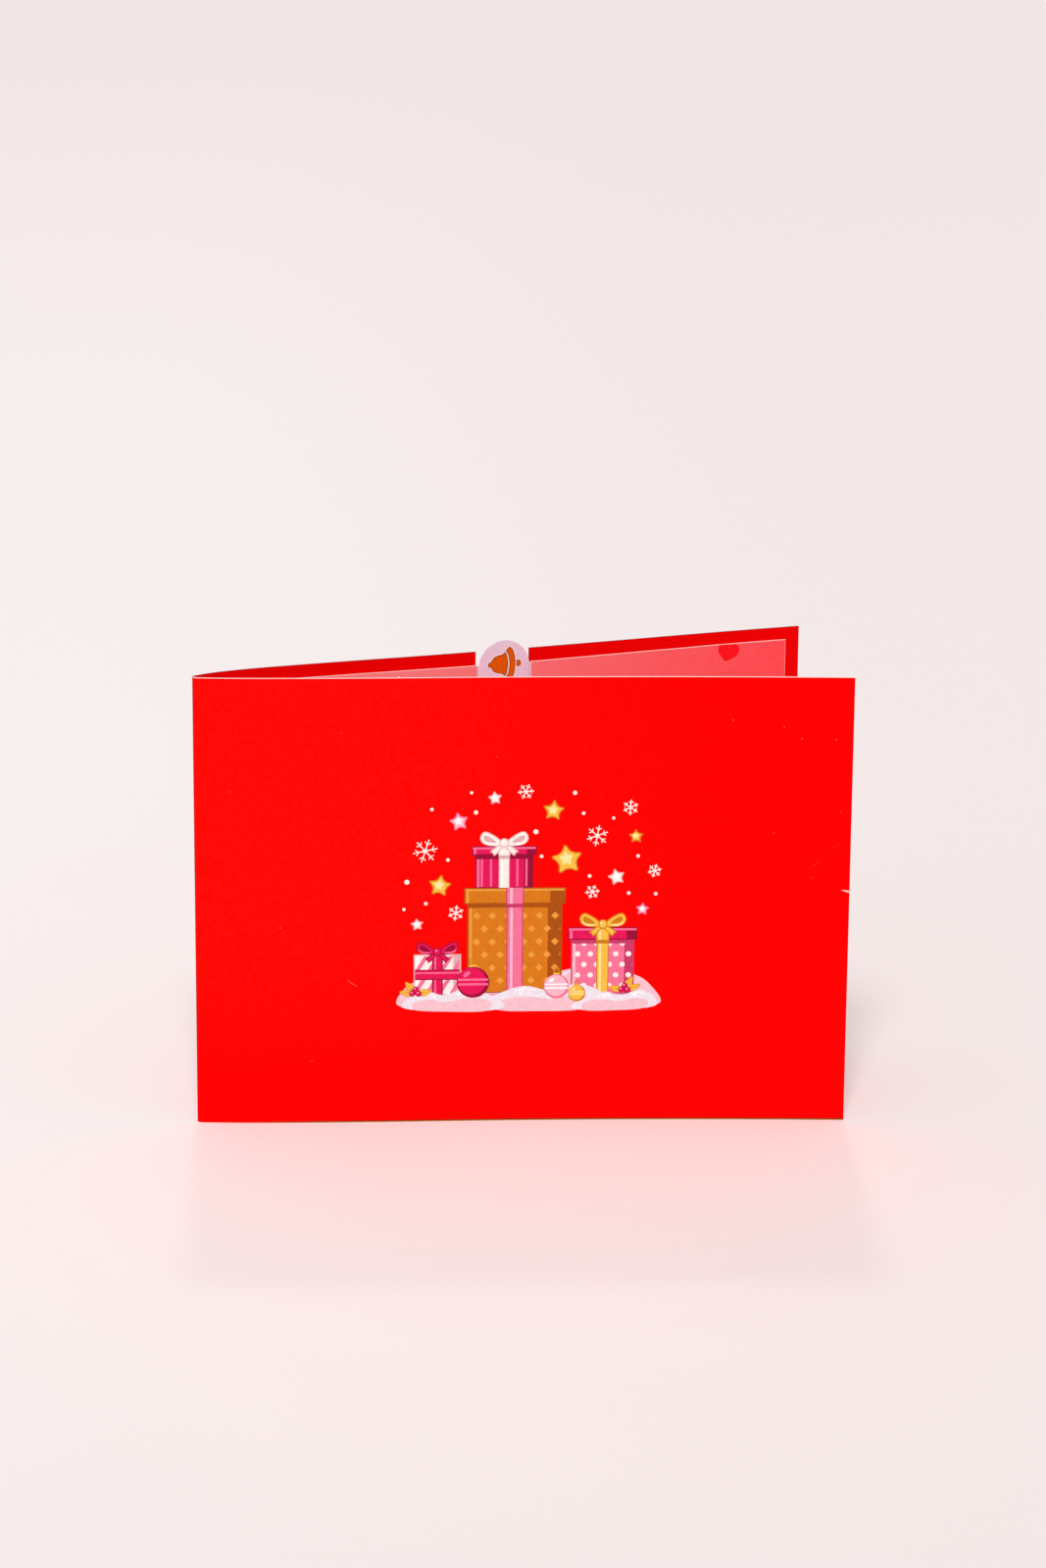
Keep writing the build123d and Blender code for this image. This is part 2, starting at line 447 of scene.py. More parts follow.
def cover_material(cover):
    """Red printed card with a bare top edge on the front; the inside, the fold's round, the other
    cut edges and the foot carry painted shade, and the foot's edge wear too.
    """
    material, tree, shader, grain = new_paper(
        "Red printed card", fibre=2600, cloud=700, relief=0.25, gloss=0.015, rough=0.45
    )
    sheet = tree.use(folded_sheet(), fold_inputs(cover))
    x, _, z = tree.split(tree.place())
    by_fold = tree.step(COVER_HIGH.x, COVER_LOW.x, x)
    upper = tree.step(0.0, COVER_HIGH.z / 2, z)
    pale = tree.times(by_fold, upper)
    pale = tree.times(pale, tree.plus(grain["Cloud"], 0.4))
    red = tree.mix(pale, cover.red, cover.red_pale)
    # Painted shade: a darker red on the inner faces
    red = tree.mix(sheet["Inside"], red, cover.red_inside)
    # Painted shade on the fold's outer round
    red = tree.mix(sheet["Crease"], red, cover.crease)
    # Painted shade on the other cut edges
    red = tree.mix(sheet["Cut"], red, cover.cut_dark)
    # Painted shadow band along the foot, then its worn edge, also painted in shade
    for share, tone in ((2.0, cover.foot_dark), (1.0, cover.foot)):
        wide = cover.foot_height * share
        foot = tree.use(bare_fibres(), {"Distance": z, "Width": wide})["Mask"]
        worn_and_shaded = tree.times(foot, tree.step(COVER_LOW.x, COVER_LOW.x * 0.5, x))
        red = tree.mix(worn_and_shaded, red, tone)
    below = tree.minus(COVER_HIGH.z, z)
    rim = tree.use(bare_fibres(), {"Distance": below, "Width": cover.rim})["Mask"]
    bare = tree.times(rim, tree.minus(1.0, sheet["Back"]))
    tree.feed(shader, "Base Color", tree.mix(bare, red, cover.cut))
    tree.feed(shader, "Roughness", tree.plus(tree.times(grain["Speckle"], 0.15), 0.45))
    return material


def lining_material(cover, lining):
    """Pink printed paper, warmer towards the free edge."""
    material, tree, shader, grain = new_paper(
        "Pink printed paper", fibre=3200, cloud=500, relief=0.12, gloss=0.08, rough=0.6
    )
    sheet = tree.use(folded_sheet(), fold_inputs(cover))
    x, _, z = tree.split(tree.place())
    away = tree.step(LINING_LOW.x * 0.5, LINING_HIGH.x, x)
    pink = tree.mix(away, lining.pink_fold, lining.pink_end)
    pink = tree.mix(tree.times(grain["Cloud"], 0.02), pink, lining.cut)
    aside = tree.minus(sheet["Along Back"], along_back(cover, NOTCH))
    below = tree.minus(COVER_HIGH.z - cover.notch_straight, z)
    below = tree.maths("MAXIMUM", below, 0.0)
    reach = tree.maths("SQRT", tree.plus(tree.times(aside, aside), tree.times(below, below)))
    notch = tree.minus(reach, cover.notch_width / 2)
    notch = tree.plus(notch, tree.minus(1.0, sheet["Back"]))
    end = tree.minus(along_back(cover, LINING_END), sheet["Along Back"])
    edge = tree.least(
        tree.minus(LINING_HIGH.z, z), tree.minus(z, LINING_LOW.z),
        tree.maths("ABSOLUTE", end), tree.maths("ABSOLUTE", notch),
    )
    rim = tree.use(bare_fibres(), {"Distance": edge, "Width": lining.rim})["Mask"]
    bare = tree.maths("MAXIMUM", sheet["Cut"], rim)
    tree.feed(shader, "Base Color", tree.mix(bare, pink, lining.cut))
    return material


def note_material(cover, note):
    """Lilac printed card."""
    material, tree, shader, grain = new_paper(
        "Lilac printed card", fibre=2800, cloud=700, relief=0.3, gloss=0.08, rough=0.6
    )
    sheet = tree.use(folded_sheet(), fold_inputs(cover))
    faint = tree.times(grain["Cloud"], 0.25)
    lilac = tree.mix(faint, note.lilac, note.cut)
    tree.feed(shader, "Base Color", tree.mix(sheet["Cut"], lilac, note.cut))
    return material


def ink_material():
    """Ink of every drawing: the colour that its shapes carry, slightly uneven."""
    name = "Printed ink"
    if name in bpy.data.materials:
        return bpy.data.materials[name]
    material, tree, shader, grain = new_paper(
        name, fibre=2600, cloud=900, relief=0.2, gloss=0.1, rough=0.5
    )
    ink = tree.add("ShaderNodeAttribute", attribute_name="ink").outputs["Color"]
    uneven = tree.times(grain["Cloud"], 0.1)
    tree.feed(shader, "Base Color", tree.mix(uneven, ink, (0.0, 0.0, 0.0, 1.0)))
    return material


def moved(points, place, lean=0.0, scale=1.0):
    """Points scaled, turned by some degrees and moved to a place."""
    c, s = cos(radians(lean)) * scale, sin(radians(lean)) * scale
    return [(place[0] + x * c - y * s, place[1] + x * s + y * c) for x, y in points]


def mirrored(points):
    """Outline mirrored left to right."""
    return [(-x, y) for x, y in reversed(points)]


def anticlockwise(points):
    """Outline in anticlockwise order."""
    turn = sum(a[0] * b[1] - b[0] * a[1] for a, b in zip(points, points[1:] + points[:1]))
    return points if turn > 0 else points[::-1]


def arc(radius, start, end, count):
    """Points of an arc round the origin, with its angles in degrees."""
    angles = [radians(start + (end - start) * i / count) for i in range(count + 1)]
    return [(radius * cos(a), radius * sin(a)) for a in angles]


def ellipse(place, wide, high, lean=0.0, count=40):
    """Outline of an ellipse, leaning by some degrees."""
    angles = [2 * pi * i / count for i in range(count)]
    return moved([(wide / 2 * cos(a), high / 2 * sin(a)) for a in angles], place, lean)


def box(x, foot, wide, high):
    """Outline of an upright box on a foot line."""
    left, right, top = x - wide / 2, x + wide / 2, foot + high
    return [(left, foot), (right, foot), (right, top), (left, top)]


def softened(points, times=2, share=0.22):
    """Outline with its corners cut round, each time by a share of every side."""
    rest = 1 - share
    for _ in range(times):
        cut = []
        for (x, y), (u, v) in zip(points, points[1:] + points[:1]):
            cut += [(x * rest + u * share, y * rest + v * share)]
            cut += [(x * share + u * rest, y * share + v * rest)]
        points = cut
    return points


def smooth_loop(points, count=8):
    """Closed smooth curve through a few points."""
    made = []
    for i in range(len(points)):
        a, b, c, d = [Vector(points[(i + k) % len(points)]) for k in (-1, 0, 1, 2)]
        for j in range(count):
            t = j / count
            made.append(tuple(0.5 * (
                2 * b + (c - a) * t + (2 * a - 5 * b + 4 * c - d) * t**2
                + (3 * b - a - 3 * c + d) * t**3
            )))
    return made


def grown(points, by):
    """Anticlockwise outline moved outwards by a distance, or inwards below zero."""
    made = []
    for i, here in enumerate(points):
        here = Vector(here)
        one = (here - Vector(points[i - 1])).normalized()
        two = (Vector(points[(i + 1) % len(points)]) - here).normalized()
        outward = Vector((one.y + two.y, -one.x - two.x)).normalized()
        share = outward.dot(Vector((one.y, -one.x)))
        made.append(tuple(here + outward * by / max(0.5, share)))
    return made


def stroke(points, wide):
    """Outline of a line of some width, thinner at its ends."""
    left, right = [], []
    last = len(points) - 1
    for i, here in enumerate(points):
        way = Vector(points[min(i + 1, last)]) - Vector(points[max(i - 1, 0)])
        side = way.orthogonal().normalized() * wide / (4 if i in (0, last) else 2)
        left.append((here[0] + side.x, here[1] + side.y))
        right.append((here[0] - side.x, here[1] - side.y))
    return anticlockwise(right + left[::-1])


def star(place, radius, lean, points=5, waist=0.5):
    """Outline of a star with softened points."""
    rays = []
    for i in range(points * 2):
        reach = radius if i % 2 == 0 else radius * waist
        rays.append((reach * cos(pi * i / points), reach * sin(pi * i / points)))
    return moved(softened(rays), place, lean)


def heart(place, wide, lean=0.0):
    """Outline of a plain heart whose tip is at a place."""
    half = [
        (0.13, 0.075), (0.3, 0.2), (0.43, 0.33), (0.485, 0.47), (0.5, 0.61), (0.43, 0.75),
        (0.27, 0.83), (0.1, 0.8),
    ]
    points = [(0.0, 0.0)] + half + [(0.0, 0.73)] + mirrored(half)
    return anticlockwise(moved(smooth_loop(points, 5), place, lean, wide))


def inside_box(points, low, high):
    """The part of a convex outline that lies inside an upright box."""
    for axis, limit, keep in ((0, low[0], 1), (0, high[0], -1), (1, low[1], 1), (1, high[1], -1)):
        kept = []
        for i, here in enumerate(points):
            before = points[i - 1]
            inside, was = (here[axis] - limit) * keep >= 0, (before[axis] - limit) * keep >= 0
            if inside != was:
                t = (limit - before[axis]) / (here[axis] - before[axis])
                kept.append(tuple(b + (h - b) * t for b, h in zip(before, here)))
            if inside:
                kept.append(here)
        points = kept
    return points


class Drawing:
    """Flat coloured shapes in the XZ plane, in millimetres. A later one covers the others."""

    def __init__(self, piece="", origin=(0, 0), scale=1.0, squeeze=1.0):
        self.origin = Vector(origin[:2]) / MM
        self.scale = Vector((scale * squeeze, scale))
        self.shapes = []
        self.piece = piece

    def add(self, points, ink):
        """Add a filled shape to the current piece."""
        if len(points) > 2:
            outline = [self.origin + Vector(p) * self.scale for p in anticlockwise(points)]
            self.shapes.append((outline, ink, self.piece))

    def lined(self, points, fill, line, wide):
        """Add a filled shape with an outline inside its border."""
        self.add(points, line)
        self.add(grown(points, -wide), fill)

    def pieces(self, creases=(), ceiling=None):
        """Make the objects: one mesh for each piece, cut where the sheet bends."""
        corners, lines = [], []
        for outline, _, _ in self.shapes:
            numbers = range(len(corners), len(corners) + len(outline))
            lines += zip(numbers, [*numbers[1:], numbers[0]])
            corners += outline
        low = [min(corner[axis] for corner in corners) - 1.0 for axis in (0, 1)]
        high = [max(corner[axis] for corner in corners) + 1.0 for axis in (0, 1)]
        cuts = [((x / MM, low[1]), (x / MM, high[1])) for x in creases]
        if ceiling:
            cuts.append(((low[0], ceiling / MM), (high[0], ceiling / MM)))
        for cut in cuts:
            lines.append((len(corners), len(corners) + 1))
            corners += [Vector(end) for end in cut]
        places, _, faces, *_ = delaunay_2d_cdt(corners, lines, [], 0, TINY)
        ends = np.array(places)[np.array(faces)]
        middles = ends.mean(axis=1)
        one, two = ends[:, 1] - ends[:, 0], ends[:, 2] - ends[:, 0]
        wanted = np.abs(one[:, 0] * two[:, 1] - one[:, 1] * two[:, 0]) > TINY
        if ceiling:
            wanted &= middles[:, 1] < ceiling / MM
        top = np.full(len(faces), -1)
        for number, (outline, _, _) in enumerate(self.shapes):
            top[covered(outline, middles) & wanted] = number
        kept = {}
        for face, number in zip(faces, top):
            if number >= 0:
                _, ink, piece = self.shapes[number]
                kept.setdefault(piece, []).append((face, ink))
        return [flat_piece(name, places, inked) for name, inked in kept.items()]


def covered(outline, points):
    """Which points an anticlockwise outline goes round. A loop the other way holds none."""
    low, high = np.min(outline, axis=0), np.max(outline, axis=0)
    near = np.all((points > low) & (points < high), axis=1)
    x, y = points[near].T
    turns = np.zeros(len(x), int)
    for a, b in zip(outline, outline[1:] + outline[:1]):
        side = (b.x - a.x) * (y - a.y) - (b.y - a.y) * (x - a.x)
        turns += (a.y <= y) & (y < b.y) & (side > 0)
        turns -= (b.y <= y) & (y < a.y) & (side < 0)
    result = np.zeros(len(points), bool)
    result[near] = turns > 0
    return result


def new_object(name, data):
    """Object of some data, placed in the scene."""
    made = bpy.data.objects.new(name, data)
    bpy.context.collection.objects.link(made)
    return made


def flat_piece(name, places, inked):
    """Make one object from its triangles and their inks."""
    used = sorted({i for face, _ in inked for i in face})
    number = {i: k for k, i in enumerate(used)}
    data = bpy.data.meshes.new(name)
    data.from_pydata(
        [(places[i].x * MM, 0.0, places[i].y * MM) for i in used], [],
        [[number[i] for i in face] for face, _ in inked],
    )
    inks = data.color_attributes.new("ink", "FLOAT_COLOR", "CORNER")
    inks.data.foreach_set("color", [v for _, ink in inked for v in [*ink] * 3])
    return new_object(name, data)


# Inputs of the trees that print on a sheet
PRESS_INPUTS = {
    "Geometry": GEOMETRY, "Sheet": "NodeSocketObject", "Start": FLOAT, "Direction": FLOAT,
    "Gap": FLOAT,
}
INK_INPUT = {"Ink": "NodeSocketMaterial"}


@built_once
def pressed_on_sheet(name):
    """Geometry Nodes that press flat shapes onto a sheet, along Y."""
    tree, get, out = new_group(name, "GeometryNodeTree", PRESS_INPUTS, {"Geometry": GEOMETRY})
    sheet = tree.add("GeometryNodeObjectInfo", {"Object": get["Sheet"]}, transform_space="RELATIVE")
    x, _, z = tree.split(tree.add("GeometryNodeInputPosition").outputs[0])
    hit = tree.add("GeometryNodeRaycast", {
        "Target Geometry": sheet.outputs["Geometry"], "Ray Length": 1.0,
        "Source Position": tree.join(x, get["Start"], z),
        "Ray Direction": tree.join(0.0, get["Direction"], 0.0),
    })
    height = tree.times(get["Gap"], tree.times(get["Direction"], -1.0))
    missed = tree.add("FunctionNodeBooleanMath", {0: hit.outputs["Is Hit"]}, operation="NOT")
    held = tree.add("GeometryNodeDeleteGeometry", {
        "Geometry": get["Geometry"], "Selection": missed.outputs[0],
    })
    pressed = tree.add("GeometryNodeSetPosition", {
        "Geometry": held.outputs[0], "Position": hit.outputs["Hit Position"],
        "Offset": tree.join(0.0, height, 0.0),
    })
    turned = tree.add("FunctionNodeCompare", {0: get["Direction"], 1: 0.0}, operation="LESS_THAN")
    flipped = tree.add("GeometryNodeFlipFaces", {
        "Mesh": pressed.outputs[0], "Selection": turned.outputs[0],
    })
    tree.feed(out, "Geometry", flipped.outputs[0])


def finish_tree(tree, out, geometry, ink):
    """End a tree of Geometry Nodes with real geometry and its material."""
    real = tree.add("GeometryNodeRealizeInstances", {0: geometry}).outputs[0]
    inked = tree.add("GeometryNodeSetMaterial", {"Geometry": real, "Material": ink})
    tree.feed(out, "Geometry", inked.outputs[0])


@built_once
def printed_drawing(name):
    """Geometry Nodes that print a drawing on a sheet."""
    inputs = PRESS_INPUTS | INK_INPUT
    tree, get, out = new_group(name, "GeometryNodeTree", inputs, {"Geometry": GEOMETRY})
    wanted = {label: get[label] for label in PRESS_INPUTS}
    finish_tree(tree, out, tree.use(pressed_on_sheet(), wanted)[0], get["Ink"])


@built_once
def scattered_shapes(name):
    """Geometry Nodes that scatter one shape over a sheet and print it there."""
    field_inputs = {
        "Left": FLOAT, "Right": FLOAT, "Low": FLOAT, "High": FLOAT, "Spacing": FLOAT,
        "Lean": FLOAT, "Least": FLOAT, "Most": FLOAT, "Seed": "NodeSocketInt",
    }
    inputs = PRESS_INPUTS | INK_INPUT | field_inputs
    tree, get, out = new_group(name, "GeometryNodeTree", inputs, {"Geometry": GEOMETRY})
    wide = tree.minus(get["Right"], get["Left"])
    high = tree.minus(get["High"], get["Low"])
    field = tree.add("GeometryNodeMeshGrid", {"Size X": wide, "Size Y": high})
    x = tree.times(tree.plus(get["Left"], get["Right"]), 0.5)
    z = tree.times(tree.plus(get["Low"], get["High"]), 0.5)
    upright = tree.add("GeometryNodeTransform", {
        "Geometry": field.outputs[0], "Translation": tree.join(x, 0.0, z),
        "Rotation": (pi / 2, 0.0, 0.0),
    })
    points = tree.add("GeometryNodeDistributePointsOnFaces", {
        "Mesh": upright.outputs[0], "Distance Min": get["Spacing"], "Density Max": 20000.0,
        "Seed": get["Seed"],
    }, distribute_method="POISSON")
    lean = tree.join(0.0, get["Lean"], 0.0)
    back = tree.join(0.0, tree.times(get["Lean"], -1.0), 0.0)
    leaning = tree.add("FunctionNodeRandomValue", {
        0: back, 1: lean, "Seed": get["Seed"],
    }, data_type="FLOAT_VECTOR")
    size = tree.add("FunctionNodeRandomValue", {
        2: get["Least"], 3: get["Most"], "Seed": get["Seed"],
    })
    copies = tree.add("GeometryNodeInstanceOnPoints", {
        "Points": points.outputs[0], "Instance": get["Geometry"],
        "Rotation": leaning.outputs[0], "Scale": size.outputs[1],
    })
    real = tree.add("GeometryNodeRealizeInstances", {0: copies.outputs[0]}).outputs[0]
    fine = tree.add("GeometryNodeSubdivideMesh", {"Mesh": real, "Level": 1}).outputs[0]
    wanted = {label: get[label] for label in PRESS_INPUTS} | {"Geometry": fine}
    finish_tree(tree, out, tree.use(pressed_on_sheet(), wanted)[0], get["Ink"])


def apply_tree(piece, group, values):
    """Run a piece through a tree of Geometry Nodes and keep the result as its mesh."""
    modifier = piece.modifiers.new(group.name, "NODES")
    modifier.node_group = group
    for item in group.interface.items_tree:
        if item.item_type == "SOCKET" and item.in_out == "INPUT" and item.name in values:
            modifier[item.identifier] = values[item.name]
    piece.data.update()
    depsgraph = bpy.context.evaluated_depsgraph_get()
    made = bpy.data.meshes.new_from_object(piece.evaluated_get(depsgraph))
    made.name = piece.name
    piece.modifiers.clear()
    piece.data = made


def print_on(piece, sheet, start, slot, direction=1.0, group=None, **more):
    """Print a drawing on a sheet, from a start line along Y, and fix it to the card."""
    apply_tree(piece, group or printed_drawing(), {
        "Sheet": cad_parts[sheet], "Start": start, "Direction": direction,
        "Gap": bpy.context.scene.card_picture.gap, "Ink": ink_material(), **more,
    })
    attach(piece, "root")


def crease_lines(node, low, high):
    """X of every upright line in a sheet's mesh, where its facets meet, in a range."""
    found = sorted({round(p.x / NEAR) for p in vertices(node) if low < p.x < high})
    return [step * NEAR for step in found]


def tones(ink, name):
    """An ink of the picture with its shade and its gleam."""
    return [getattr(ink, name + shade) for shade in SHADES]


def face_of_box(draw, inks, x, foot, wide, high):
    """One face of a gift: its outline, its shade and its gleam."""
    tone, dark, light = inks
    low, inner = foot + LINE, high - 2 * LINE
    gleam_at, gleam, shade = 0.9, 0.7, wide * 0.14
    draw.lined(box(x, foot, wide, high), tone, dark, LINE)
    draw.add(box(x - wide / 2 + gleam_at, low, gleam, inner), light)
    draw.add(box(x + wide / 2 - LINE - shade / 2, low, shade, inner), dark)


def ribbon(draw, inks, x, foot, wide, high):
    """Upright ribbon with dark borders and a gleam."""
    tone, dark, light = inks
    draw.add(box(x, foot, wide, high), dark)
    draw.add(box(x, foot, wide - 2 * LINE, high), tone)
    draw.add(box(x - wide * 0.2, foot, wide * 0.16, high), light)


def bow(draw, inks, x, foot, size):
    """Bow of two loops, two tails and a knot."""
    tone, dark, light = inks
    tail = anticlockwise(softened([
        (0.02, 0.1), (0.2, 0.12), (0.66, -0.22), (0.5, -0.27), (0.44, -0.46), (0, 0)
    ]))
    loop = anticlockwise(smooth_loop([
        (0, 0.06), (0.42, 0.02), (0.9, 0.14), (1.04, 0.42), (0.84, 0.68), (0.44, 0.52), (0.1, 0.24)
    ]))
    hollow = smooth_loop([(0.34, 0.2), (0.66, 0.2), (0.86, 0.32), (0.84, 0.5), (0.62, 0.44)])
    gleam = stroke([(0.36, 0.12), (0.62, 0.1), (0.84, 0.17), (0.93, 0.3)], 0.07)
    for turn in (list, mirrored):
        for shape in (tail, loop):
            draw.lined(moved(turn(shape), (x, foot), 0, size), tone, dark, LINE)
        draw.add(moved(turn(hollow), (x, foot), 0, size), dark)
        draw.add(moved(turn(gleam), (x, foot), 0, size), light)
    knot = ellipse((x, foot + size * 0.16), size * 0.42, size * 0.44)
    draw.lined(knot, tone, dark, LINE)
    draw.add(ellipse((x - size * 0.06, foot + size * 0.22), size * 0.12, size * 0.14), light)


def gift(draw, x, foot, wide, high, lid, wrap, tie, tie_wide, pattern, lid_inks=None):
    """Wrapped gift with its lid and its upright ribbon."""
    border, shadow, overhang = 0.5, 1.1, 0.9
    face_of_box(draw, wrap, x, foot, wide, high)
    low = (x - wide / 2 + border, foot + border)
    top = (x + wide / 2 - border, foot + high - border)
    for shape, ink in pattern:
        draw.add(inside_box(shape, low, top), ink)
    ribbon(draw, tie, x, foot, tie_wide, high)
    if lid:
        lid_inks = lid_inks or wrap
        seam = foot + high
        draw.add(box(x, seam - shadow, wide - 2 * LINE, shadow), wrap[1])
        draw.add(box(x, seam - shadow, tie_wide, shadow), tie[1])
        face_of_box(draw, lid_inks, x, seam, wide + 2 * overhang, lid)
        draw.add(box(x, seam + lid - 3 * LINE, wide + 4 * LINE, 2 * LINE), lid_inks[2])
        ribbon(draw, tie, x, seam, tie_wide + LINE, lid)


def staggered(low, high, step):
    """Places of a staggered grid, whose rows are nearer than its columns."""
    places, rise = [], step / 1.15
    for row in range(int((high[1] - low[1]) / rise) + 2):
        count = int((high[0] - low[0]) / step) + 2
        shift = row % 2 / 2
        places += [(low[0] + (i + shift) * step, low[1] + row * rise) for i in range(count)]
    return places


def draw_drift(draw, inks, crest, foot):
    """Snowdrift: its crest from left to right, its shaded foot and a gleam on each hump."""
    tone, shade, light = inks
    bank = anticlockwise(smooth_loop(crest + foot))
    draw.add(bank, tone)
    lower = [(x * 0.97, y * 0.52 + 0.5) for x, y in crest[1:-1]]
    draw.add(anticlockwise(smooth_loop(lower + foot)), shade)
    for before, here, after in zip(crest, crest[1:], crest[2:]):
        if here[1] > before[1] and here[1] > after[1]:
            ridge = [Vector(here).lerp(end, 0.45) for end in (before, after)]
            line = [ridge[0], Vector(here), ridge[1]]
            draw.add(stroke([(p.x, p.y - 0.75) for p in line], 0.55), light)


def draw_back_snow(draw, ink):
    """Drifts behind the gifts."""
    inks = (ink.snow_pink, ink.snow_shade, ink.snow)
    for crest, foot in (
        ([(-36.4, 2.6), (-34.6, 6.6), (-31.4, 8.8), (-27.6, 8.2), (-23, 10.2), (-16, 12.4),
          (-9, 10.4), (-5, 5)], [(-8, 1.2), (-20, 0.8), (-31, 1.2)]),
        ([(2, 4), (6, 9.8), (11, 12.2), (16, 10.8), (23, 11.8), (29.4, 10.4),
          (33.2, 7.8), (36.4, 2.8)], [(31, 1.2), (20, 0.8), (8, 1.2)]),
    ):
        draw_drift(draw, inks, crest, foot)


def draw_front_snow(draw, ink):
    """Drifts in front of the gifts, with their sparkle."""
    inks = (ink.snow, ink.snow_pink, ink.cream_light)
    for crest, foot in (
        ([(-14, 2), (-8, 5.4), (-1, 7.4), (6, 6), (13, 7.8), (19, 6.2),
          (22, 2.2)], [(14, 0.5), (2, 0.1), (-8, 0.5)]),
        ([(-35.2, 2), (-32.4, 4.8), (-28.2, 6.2), (-23.4, 5), (-17.4, 6.8), (-11, 5),
          (-6.6, 1.6)], [(-12, 0.3), (-22, 0.2), (-31.4, 0.8)]),
        ([(11.6, 1.4), (16, 4.2), (21, 5.6), (25.4, 4.6), (30.4, 6.2), (33.8, 4.8),
          (35.4, 2)], [(31.4, 0.8), (23, 0.2), (15.4, 0.3)]),
    ):
        draw_drift(draw, inks, crest, foot)
    for x, y, size in (
        (-26, 4.6, 0.5), (-17.5, 4.9, 0.4), (-2.4, 5.2, 0.45), (8.6, 5.4, 0.4),
        (20.6, 4.2, 0.45), (-30.6, 4.2, 0.35), (29.4, 4.6, 0.4), (2.4, 4.4, 0.35),
    ):
        draw.add(ellipse((x, y), size * 2, size * 1.7), ink.cream_light)


def draw_gifts(draw, ink):
    """Four gifts, one of them on the largest."""
    brown, gold, pink, magenta, cream = [tones(ink, name) for name in INKS]

    # Magenta gift on the largest one, with pale stripes
    stripes = [(box(x, 34, 0.55, 14), ink.magenta_light) for x in (-13.1, -10.6, -3.4, -0.9)]
    gift(draw, -7, 35.6, 16, 9.4, 2.6, magenta, cream, 3, stripes)
    bow(draw, cream, -7, 47.4, 6.4)

    # Large brown gift with diamonds
    diamonds = [
        (moved(box(0, -0.75, 1.5, 1.5), place, 45), ink.brown_light)
        for place in staggered((-16.6, 9), (9, 31), 4.3)
    ]
    gift(draw, -4, 5.5, 26, 25.6, 4.6, brown, pink, 4.6, diamonds)

    # Dotted pink gift on the right, with a magenta lid
    dots = [
        (ellipse(place, 1.5, 1.5, count=18), ink.cream)
        for place in staggered((11.6, 7.4), (29, 22), 3.5)
    ]
    gift(draw, 20.2, 5, 17.4, 15.6, 3.6, pink, gold, 3.4, dots, magenta)
    bow(draw, gold, 20.2, 24.1, 6.2)

    # Small cream gift on the left, with slanting pink stripes
    slants = [
        ([(x, 5), (x + 1.3, 5), (x + 9.3, 18), (x + 8, 18)], ink.pink)
        for x in (-39.2, -35.8, -32.4, -29, -25.6, -22.2)
    ]
    gift(draw, -25.2, 5, 13, 11.8, 0, cream, magenta, 3, slants)
    for foot, high, tone in ((9.4, 3, 1), (9.7, 2.4, 0), (11.2, 0.45, 2)):
        draw.add(box(-25.2, foot, 12.4, high), magenta[tone])
    bow(draw, magenta, -25.2, 16.6, 5.6)


def draw_bauble(draw, ink, glass, x, y, radius):
    """Bauble with two bands, a gleam and a gold cap."""
    tone, dark, light = glass
    ring = stroke(moved(arc(radius * 0.2, -50, 230, 12), (x, y + radius * 1.32)), 0.35)
    draw.add(ring, ink.gold_dark)
    cap = box(x, y + radius * 0.86, radius * 0.56, radius * 0.3)
    draw.lined(cap, ink.gold, ink.gold_dark, 0.18)
    draw.add(ellipse((x, y), radius * 2, radius * 2), dark)
    draw.add(ellipse((x - radius * 0.07, y + radius * 0.07), radius * 1.74, radius * 1.74), tone)
    whole = ellipse((x, y), radius * 1.86, radius * 1.86)
    for low, high in ((-0.2, -0.06), (0.1, 0.24)):
        ends = (x - radius, y + radius * low), (x + radius, y + radius * high)
        draw.add(inside_box(whole, *ends), light)
    draw.add(ellipse((x - radius * 0.38, y + radius * 0.52), radius * 0.5, radius * 0.26, 38), light)


def draw_leaf(draw, ink, place, size, lean):
    """Gold leaf with its vein."""
    blade = anticlockwise(smooth_loop([
        (0, 0), (0.3, 0.2), (0.62, 0.2), (1, 0), (0.62, -0.2), (0.3, -0.2)
    ]))
    draw.lined(moved(blade, place, lean, size), ink.gold, ink.gold_dark, 0.2)
    vein = moved([(0.1, 0), (0.5, 0), (0.85, 0)], place, lean, size)
    draw.add(stroke(vein, 0.22), ink.gold_dark)


def draw_trims(draw, ink):
    """Baubles, leaves and berries on the snow."""
    pale = (ink.pink_light, ink.pink, ink.cream_light)
    draw_bauble(draw, ink, tones(ink, "magenta"), -15.4, 8.6, 4.5)
    draw_bauble(draw, ink, pale, 7.6, 7.2, 3.5)
    draw_bauble(draw, ink, tones(ink, "gold"), 13.2, 5.2, 2.4)
    for place, turns in (((26.4, 6), (20, 62, 168)), ((-31.2, 5.4), (10, 128, 172))):
        for turn in turns:
            draw_leaf(draw, ink, place, 4.6, turn)
        for dx, dy in ((-0.9, 0.2), (0.8, 0.1), (0, 1.3)):
            spot = (place[0] + dx, place[1] + dy)
            draw.lined(ellipse(spot, 1.8, 1.8, count=20), ink.magenta, ink.magenta_dark, 0.2)
            gleam = ellipse((spot[0] - 0.25, spot[1] + 0.3), 0.5, 0.4, count=12)
            draw.add(gleam, ink.pink_light)


def draw_flake(draw, tone, place, size, lean):
    """Snowflake of six branched arms."""
    for turn in range(0, 360, 60):
        draw.add(moved(box(size / 2, -0.16, size, 0.32), place, lean + turn), tone)
        for side in (52, -52):
            twig = moved(box(size * 0.17, -0.13, size * 0.34, 0.26), (size * 0.55, 0), side)
            draw.add(moved(twig, place, lean + turn), tone)
    draw.add(ellipse(place, size * 0.4, size * 0.4, count=12), tone)


